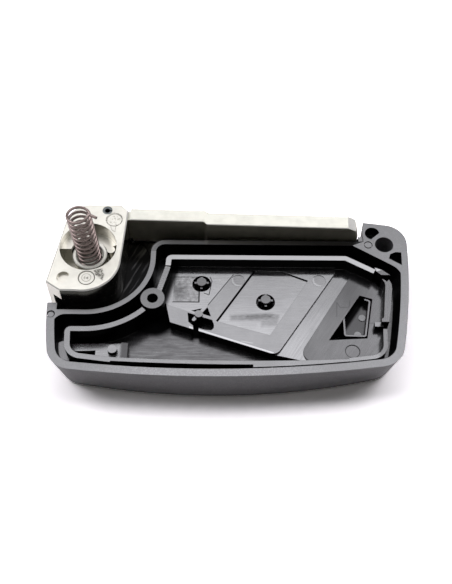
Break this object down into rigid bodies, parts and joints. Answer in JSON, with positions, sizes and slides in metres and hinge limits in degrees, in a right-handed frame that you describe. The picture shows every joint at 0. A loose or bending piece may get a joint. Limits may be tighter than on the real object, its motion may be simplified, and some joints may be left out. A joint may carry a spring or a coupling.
{
  "type": "flip key remote shell",
  "caption": "Rear half of a folding car key remote, opened: a ribbed plastic shell with a cast metal flip head that swings the folded blade out, and a wire coil spring standing in the head.",
  "frame": {"origin": "middle of the whole part's box in X and Y, on the flat underside that it rests on", "axes": "+X from the flip head to the key ring corner, +Y from the closed side to the open side where the blade lies, +Z out of the open shell"},
  "size_m": [0.0771, 0.0396, 0.0265],
  "materials": {
    "shell_plastic": "fine matte texture outside, smooth and glossier inside",
    "head_metal": "satin nickel on a casting",
    "cup_metal": "satin nickel",
    "spring_wire": "drawn spring wire",
    "blade_metal": "milled nickel silver",
    "pin_steel": "dark spring steel",
    "rivet_metal": "ground flush"
  },
  "bodies": {
    "shell": {"rear_shell": "shell_plastic"},
    "head": {"flip_head": "head_metal", "spring_cup": "cup_metal", "flip_spring": "spring_wire", "key_blade": "blade_metal", "blade_roll_pin": "pin_steel", "blade_rivet": "rivet_metal", "head_rivet": "rivet_metal"}
  },
  "joints": [
    {"name": "head_flip", "type": "hinge", "parent": "shell", "child": "head", "pos_m": [-0.0303, 0.0085, 0.01], "axis": [0, 0, 1], "range_deg": [0, 180]}
  ]
}
